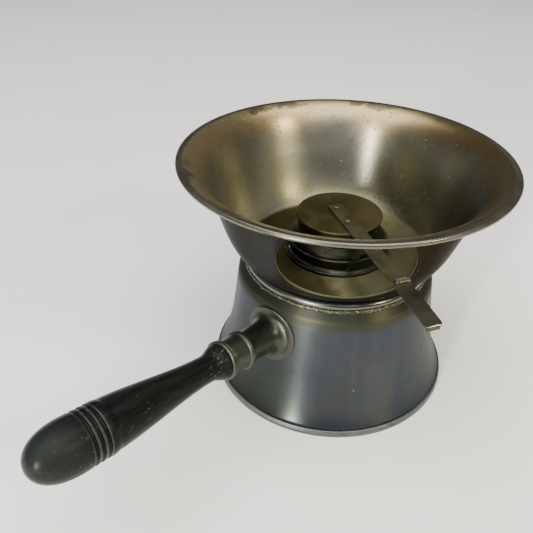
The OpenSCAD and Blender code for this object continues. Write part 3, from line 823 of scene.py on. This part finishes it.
def cap_plate(material):
    """Flat cap with a turned edge and a faint dish."""
    under = cap_z - cap_t
    outline = path(
        (0, under), (cap_r - 0.5, under), ((cap_r, under), (cap_r, cap_z), (cap_r - 0.7, cap_z), 8),
        (cap_r - 3, cap_z - 0.03), (18, cap_z - 0.09), (6, cap_z - 0.05), (0, cap_z - 0.04))
    put(turned("cap_plate", outline, wobble=0.04), "burner_metal", ["cap_disc"], material, body="regulator")


def tabs(material):
    """Two bent tabs on the drum's lip that keep the sleeve down."""
    outline = [(drum_in + 0.1, lip_z), (drum_r + 0.1, lip_z), (drum_r + 0.2, lip_z + 1),
               (skirt_r - 0.7, lip_z + 3.9), (skirt_r - 2.3, lip_z + 4.9), (skirt_r - 2.5, lip_z + 4.5),
               (skirt_r - 1.1, lip_z + 3.5), (drum_in + 0.1, lip_z + 1.2)]
    half_width = 3
    for index, turn in enumerate((-124, 56)):
        piece = strip(f"retaining_tab_{index + 1}", outline, -half_width, half_width,
                      Matrix.Rotation(radians(turn), 4, "Z"), 0.2)
        put(piece, "burner_metal", ["retaining_tabs"], material)


# ---- Lever ----

bar_w, bar_t, knuckle_r, pin_r = 10.4, 1.3, 1.9, 0.8
half_bar = bar_w / 2
arm_start, thumb_len, thumb_droop = -7.9, 36.2, 2.5
lug_w, thumb_knuckle, clearance = 2.0, 1.3, 0.25
lug_side = lug_w - half_bar
arm_side = lug_side + thumb_knuckle + 0.3
along_lever = Matrix.Rotation(lever_angle, 4, "Z")
at_hinge = Matrix.Translation(Vector(hinge)) @ along_lever


def lever_bars(material, thumb_material, wear_and_highlight):
    """Two flat bars; each has a knuckle round the hinge pin, and a lug stops the droop."""
    # the knuckle's top faces take the painted highlight line
    def knuckle_top(_, normal):
        return radians(84) < atan2(normal.z, normal.x) < radians(110)

    # the top edge of the thumb's tip takes the painted highlight
    def bend(centre, normal):
        return centre.x > thumb_len - 0.5 and centre.z > high - 0.7 and 0.1 < normal.z < 0.97

    def add(piece, body, place, main, painted_highlight_where=None):
        if painted_highlight_where:
            painted_highlight_faces(piece, place, painted_highlight_where)
        put(piece, "lever_metal", [replaced[body]], main, *([wear_and_highlight] if painted_highlight_where else []), body=body)

    replaced = {"regulator": "lever_arm", "thumb_lever": "thumb_lever"}
    low, high = -0.1 - bar_t, -0.1
    touch = degrees(asin(-low / knuckle_r))
    curl = arc((0, 0), knuckle_r, -180 + touch, 176, 30)
    back, gap, tail = -knuckle_r - clearance, clearance / 2, 4
    plan = [(arm_start - hinge_r, -half_bar), (-gap, -half_bar), (-gap, lug_side - 0.25),
            (back, lug_side - 0.25), (back, half_bar), (arm_start - hinge_r, half_bar)]
    add(flat_bar("arm_bar", plan, low, high, at_hinge), "regulator", at_hinge, material)
    side = [(-tail, low)] + curl + [(-tail, high)]
    add(strip("arm_knuckle", side, arm_side, half_bar, at_hinge, 0.15), "regulator", at_hinge, material,
        knuckle_top)
    droop = at_hinge @ Matrix.Rotation(radians(thumb_droop), 4, "Y")
    corner, thumb_side = 1.8, lug_side + thumb_knuckle
    plan = ([(-back, thumb_side), (gap, thumb_side), (gap, -half_bar)]
            + arc((thumb_len - corner, corner - half_bar), corner, -90, 0, 6)
            + [(thumb_len - 2 * corner * (1 - cos(a)), half_bar - corner * (1 - sin(a)))
               for a in np.linspace(0, pi / 2, 8)] + [(-back, half_bar)])
    add(flat_bar("thumb_bar", plan, low, high, droop, 0.32), "thumb_lever", droop, thumb_material, bend)
    lip_end = -3.5
    lip = [(thumb_len - bar_t, high - 0.5), (thumb_len - 0.3, high - 0.4), (thumb_len - 0.05, high - 0.9),
           (thumb_len - 0.05, lip_end), (thumb_len - bar_t, lip_end)]
    add(strip("thumb_lip", lip, corner - half_bar - 0.6, half_bar - corner, droop, 0.2), "thumb_lever",
        droop, thumb_material, bend)
    side = [(tail, low)] + [(-x, z) for x, z in curl] + [(tail, high)]
    add(strip("thumb_knuckle", side, lug_side, thumb_side, droop, 0.15), "thumb_lever", droop,
        thumb_material, knuckle_top)


def lever_rivets(material, bright):
    """Two flat-headed rivets, and the hinge pin with its peened ends."""
    top, under = cap_z + bar_t, cap_z - cap_t
    outline = path(
        (0, under - 1), (2.4, under - 1), (2.4, under), (1.6, under), (1.6, top), (2.3, top),
        ((2.1, top + 0.45), (1.2, top + 0.7), (0, top + 0.7), 8))
    for index, x in enumerate((-5.2, 13.5)):
        piece = turned(f"lever_rivet_{index + 1}", soften(outline, 0.15), 48,
                       along_lever @ Matrix.Translation((x, 0, 0)))
        put(piece, "lever_metal", ["arm_rivets"], material, body="regulator")
    first, last = lug_side - 0.1, half_bar + 0.3
    outline = [(0, first), (pin_r * 0.6, first), (pin_r, first + 0.3),
               (pin_r, last - 0.3), (pin_r * 0.6, last), (0, last)]
    piece = turned("hinge_rod", outline, 48, at_hinge @ Matrix.Rotation(radians(-90), 4, "X"))
    put(piece, "pin_metal", ["hinge_pin"], bright, body="regulator")


# ---- Handle ----

handle_z, plate_r, plate_t = 61.6, 18.7, 1.4
cone_radii, cone_heights = zip(*cone_line)
wall_at_handle = float(np.interp(handle_z, cone_heights, cone_radii))
on_handle = (Matrix.Translation((-wall_at_handle, 0, handle_z))
             @ Matrix.Rotation(radians(handle_rise - 90), 4, "Y"))


def above_cone(x, y, grow):
    """How far along the handle's axis the line at (x, y) leaves the cone grown by a margin."""
    low, high = -20.0, 20.0
    for _ in range(30):
        s = (low + high) / 2
        p = on_handle @ Vector((x, y, s))
        if hypot(p.x, p.y) < np.interp(p.z, cone_heights, cone_radii) + grow:
            low = s
        else:
            high = s
    return s


def cone_plate(material):
    """Round plate dressed to the cone, with a soft edge."""
    def at(radius, grow, a):
        x, y = radius * cos(a), radius * sin(a)
        return on_handle @ Vector((x, y, above_cone(x, y, grow)))

    rings = [(r, plate_t) for r in (6, 12, 15, 17, plate_r - 0.7)]
    rings += [(plate_r - 0.25, plate_t - 0.12), (plate_r - 0.02, plate_t - 0.45), (plate_r, plate_t - 0.8),
              (plate_r, 0.02), (15, 0.02), (6, 0.02)]
    put(shaped("cone_plate", rings, MEDIUM, at, 50), "socket_metal", ["handle_plate"], material)


stud_hole, socket_end, ferrule_end, grip_end = 3.1, 41.0, 46.0, 168.0


def socket(material):
    """Trumpet-shaped socket with a bead, its foot fitted to the plate."""
    outline = path(
        (15.4, -3), (15.2, 1.5), ((12.6, 2.2), (10.9, 4.5), (10.6, 9), 12), (10.45, 17), (10.3, 26.4),
        ((11.2, 26.2), (12.3, 26.5), (12.5, 28.2), 7), ((12.5, 29.8), (12.0, 30.4), (11.2, 30.5), 6),
        ((11.0, 33), (10.6, 37), (10.4, socket_end), 8), (stud_hole, socket_end), (stud_hole, -3))
    made = turned("handle_neck", soften(outline, 0.2), MEDIUM, on_handle)
    back = on_handle.inverted()
    for v in made.data.vertices:
        p = back @ (v.co / MM)
        if p.z < plate_t:
            v.co = (on_handle @ Vector((p.x, p.y, above_cone(p.x, p.y, plate_t) + 0.02))) * MM
    put(made, "socket_metal", ["handle_socket"], material)


def ferrule(material):
    """Double ring between the socket and the wood."""
    start, end = socket_end, ferrule_end
    outline = path(
        (stud_hole, start), (10.2, start), (10.2, start + 0.5),
        ((12.1, start + 0.3), (12.4, start + 2.5), (11.4, start + 2.7), 9),
        ((12.6, start + 2.8), (12.7, end), (11.2, end), 9), (stud_hole, end))
    put(turned("double_ring", soften(outline, 0.15), MEDIUM, on_handle), "socket_metal",
        ["handle_ferrule"], material)


def grip(material, ridge_highlight_material):
    """Turned wooden grip: neck, waist, long swell, three grooves and a round end."""
    # the outer faces of the bead ridges take the wood's lighter copy: painted highlight
    def ridge(centre, _):
        return 131.2 < centre.z < 141.4 and hypot(centre.x, centre.y) > 14.3

    start, end, grooves = ferrule_end, grip_end, (132.8, 136.3, 139.8)
    line = path(
        (0, start), (11, start), ((10.9, start + 5), (8.1, start + 6), (8.1, start + 12), 16),
        ((8.1, 78), (13.6, 108), (14.0, 126), 44), (14.2, 126.6), (14.45, 127.4), (14.5, 129), (14.5, 131))
    for s in grooves:
        line += arc((14.4, s), 1.05, 265, 95, 10)
        line += [(14.5, s + 1.25), (14.52, s + 1.75), (14.5, s + 2.2)]
    line += cubic([14.5, 142], [15.2, 158], [9.5, end], [0, end], 40)
    made = turned("wood_grip_turned", soften(line, 0.15, 2), FINE, on_handle, sharp=45)
    put(painted_highlight_faces(made, on_handle, ridge), "grip_wood", ["wood_grip"], material, ridge_highlight_material)


def stud_parts(material):
    """Stud with rolled thread, washer and chamfered hex nut."""
    def on_nut(radius, up, a):
        flat = hexagon * cos(pi / 6) / cos((a % (pi / 3)) - pi / 6)
        r = flat if radius is None else radius
        return on_handle @ Vector((r * cos(a), r * sin(a), base + up))

    inner, outer, pitch = -9.0, 86.0, 1.0
    line = [(0, inner), (2.5, inner)]
    s = inner + 0.4
    while s < 0:
        line += [(2.95, s), (2.55, s + pitch / 2)]
        s += pitch
    line += [(3, s), (3, outer), (0, outer)]
    put(turned("stud_rod", line, 48, on_handle, sharp=60), "pin_metal", ["handle_stud"], material)
    face = -stand_t - 0.6
    washer = [(stud_hole, face - 1), (7, face - 1), (7, face), (stud_hole, face)]
    put(turned("stud_washer_turned", soften(washer, 0.25), 64, on_handle), "pin_metal",
        ["stud_washer"], material)
    hexagon, tall = 5.8, 4.5
    base = face - 1 - tall
    rings = [(3.0, 0.0), (5.0, 0.0), (None, 0.5), (None, tall - 0.5), (5.0, tall), (3.0, tall)]
    put(shaped("stud_nut_hex", rings, SMALL, on_nut, 30), "pin_metal", ["stud_nut"], material)


# ---- Build ----

foot_finish = old_metal(
    "foot_metal", (0.11, 0.12, 0.128), (0.15, 0.16, 0.168), (0.05, 0.055, 0.06), (0.3, 0.42), rubbed=0.4)
bowl_outer = old_metal(
    "bowl_outside", (0.046, 0.048, 0.05), (0.06, 0.058, 0.052), (0.03, 0.027, 0.016), (0.26, 0.36),
    pits=0.3, specular=0.2, grazing=0.35, side_tone_and_shade=(NEAR_SIDE, 0.0, 0.04, (0.03, 0.025, 0.009)))
bead_finish = old_metal(
    "base_bead_metal", (0.11, 0.115, 0.105), (0.16, 0.165, 0.15), (0.05, 0.052, 0.04), (0.17, 0.27))
bowl_edge = old_metal(
    "bowl_edge", (0.05, 0.044, 0.02), (0.075, 0.067, 0.033), (0.03, 0.025, 0.012), (0.34, 0.44),
    rubbed=0.08)
rim_finish = old_metal(
    "rim_metal", (0.13, 0.124, 0.092), (0.175, 0.17, 0.135), (0.085, 0.072, 0.042), (0.22, 0.32),
    blotch=30, stain_from=0.6, rubbed=0.12)
# the far side is made near black: painted shade
burner_finish = old_metal(
    "burner_metal", (0.04, 0.042, 0.032), (0.06, 0.06, 0.043), (0.02, 0.019, 0.01), (0.3, 0.42), pits=0.4,
    rubbed=0.5, specular=0.2, side_tone_and_shade=(FAR_SIDE, 0.004, 0.016, (0.003, 0.003, 0.0025)))
# the far side is made near black: painted shade
sleeve_finish = old_metal(
    "sleeve_metal", (0.016, 0.017, 0.011), (0.026, 0.027, 0.017), (0.009, 0.009, 0.005), (0.42, 0.54),
    pits=0.4, specular=0.2, side_tone_and_shade=(FAR_SIDE, 0.012, 0.026, (0.006, 0.006, 0.005)))
# near black with no reflection at all: real sooting, and painted shade for the inside seen through the slots
soot_and_shade = old_metal(
    "burner_soot_and_shade", (0.004, 0.004, 0.0035), (0.008, 0.0075, 0.007), (0.003, 0.003, 0.003), (0.8, 0.9),
    metallic=0.0, specular=0.0)
cap_finish = old_metal(
    "cap_metal", (0.055, 0.045, 0.014), (0.08, 0.067, 0.028), (0.032, 0.025, 0.008), (0.4, 0.5),
    lathe=False, blotch=40, pits=0.3, grazing=0.6, side_tone_and_shade=(NEAR_SIDE, 0.0, 0.02, (0.095, 0.083, 0.036)))
lever_finish = old_metal(
    "lever_metal", (0.085, 0.078, 0.04), (0.115, 0.106, 0.058), (0.05, 0.043, 0.02), (0.36, 0.46),
    lathe=False, blotch=60, grazing=0.6)
thumb_finish = old_metal(
    "thumb_metal", (0.078, 0.079, 0.056), (0.1, 0.1, 0.072), (0.045, 0.044, 0.03), (0.36, 0.46),
    lathe=False, blotch=60, grazing=0.6)
# pale metal laid as a painted highlight on the knuckle tops and the thumb's tip edge
painted_highlight_finish = old_metal(
    "painted_highlight_edge", (0.5, 0.5, 0.46), (0.6, 0.6, 0.56), (0.3, 0.29, 0.25), (0.2, 0.28), lathe=False,
    blotch=200)
pin_finish = old_metal(
    "pin_metal", (0.3, 0.3, 0.28), (0.42, 0.41, 0.38), (0.1, 0.09, 0.07), (0.3, 0.42), lathe=False,
    blotch=90)
socket_finish = old_metal(
    "socket_metal", (0.042, 0.048, 0.037), (0.064, 0.07, 0.055), (0.022, 0.025, 0.018), (0.3, 0.42),
    lathe=False, blotch=30, pits=0.6, rubbed=0.2)

stand_shell(stand_metal())
foot_band(foot_finish)
solder_fillet(solder_metal())
bowl_shell(bowl_outer, bowl_inside(), bowl_edge)
base_ring(bead_finish)
rim_roll(rim_finish)
burner_drum(burner_finish)
regulator_sleeve(sleeve_finish, soot_and_shade)
cap_plate(cap_finish)
tabs(sleeve_finish)
lever_bars(lever_finish, thumb_finish, painted_highlight_finish)
lever_rivets(lever_finish, pin_finish)
cone_plate(socket_finish)
socket(socket_finish)
ferrule(socket_finish)
grip(grip_wood("grip_wood", 1.0), grip_wood("grip_ridge_highlight", 3.2))
stud_parts(pin_finish)

carried_over = {"font_neck_ring": burner_finish, "fuel_font": burner_finish, "font_bottom": burner_finish,
                "wick_tube": soot_and_shade, "wick_gauze": soot_and_shade, "wick": wick_cotton()}
for node, finish in carried_over.items():
    materials = frame["nodes"][node].data.materials
    materials.clear()
    materials.append(finish)


# ---- Floor, lights and camera ----

def studio_floor():
    """Plain pale floor, a wide disc."""
    reach, depth = 6000, 20
    made = turned("floor", [(0, 0), (0, -depth), (reach, -depth), (reach, 0)], SMALL)
    made.data.materials.append(floor_paint())


def softbox(name, around, up, distance, size, power, colour):
    """An area light aimed at the bowl, placed by its direction from there."""
    lamp = bpy.data.lights.new(name, "AREA")
    lamp.shape = "RECTANGLE"
    lamp.size, lamp.size_y = size
    lamp.energy = power
    lamp.color = colour
    made = placed(name, lamp)
    a, e = radians(around), radians(up)
    aim = Vector((0, 0, 0.1))
    way = Vector((cos(e) * cos(a), cos(e) * sin(a), sin(e)))
    made.location = aim + way * distance
    made.rotation_euler = way.to_track_quat("Z", "Y").to_euler()


def camera():
    """Camera at the reference view."""
    position = (-0.2852, -0.1810, 0.3088)
    heading, dip, roll = radians(40.54), radians(34.66), 0.015
    forward = Vector((cos(dip) * cos(heading), cos(dip) * sin(heading), -sin(dip)))
    level = Vector((sin(heading), -cos(heading), 0))
    rise = level.cross(forward)
    right = cos(roll) * level + sin(roll) * rise
    up = right.cross(forward)
    lens = bpy.data.cameras.new("camera")
    lens.sensor_width = 36.0
    lens.lens = 38.9
    made = placed("camera", lens)
    turn = Matrix((right, up, -forward)).transposed().to_4x4()
    made.matrix_world = Matrix.Translation(position) @ turn
    bpy.context.scene.camera = made


def surroundings(strength):
    """Even grey light from all round."""
    world = bpy.data.worlds.new("studio")
    world.use_nodes = True
    back = world.node_tree.nodes["Background"]
    back.inputs["Color"].default_value = (0.92, 0.96, 1.0, 1.0)
    back.inputs["Strength"].default_value = strength
    bpy.context.scene.world = world


studio_floor()
softbox("window_strip", -171, 12, 1.3, (0.06, 0.4), 22, (1.0, 0.95, 0.88))
softbox("warm_lamp", -85, 36, 1.2, (0.16, 0.16), 7, (1.0, 0.85, 0.5))
softbox("overhead", -150, 80, 2.4, (3.0, 3.0), 130, (1.0, 0.99, 0.97))
surroundings(0.15)
camera()
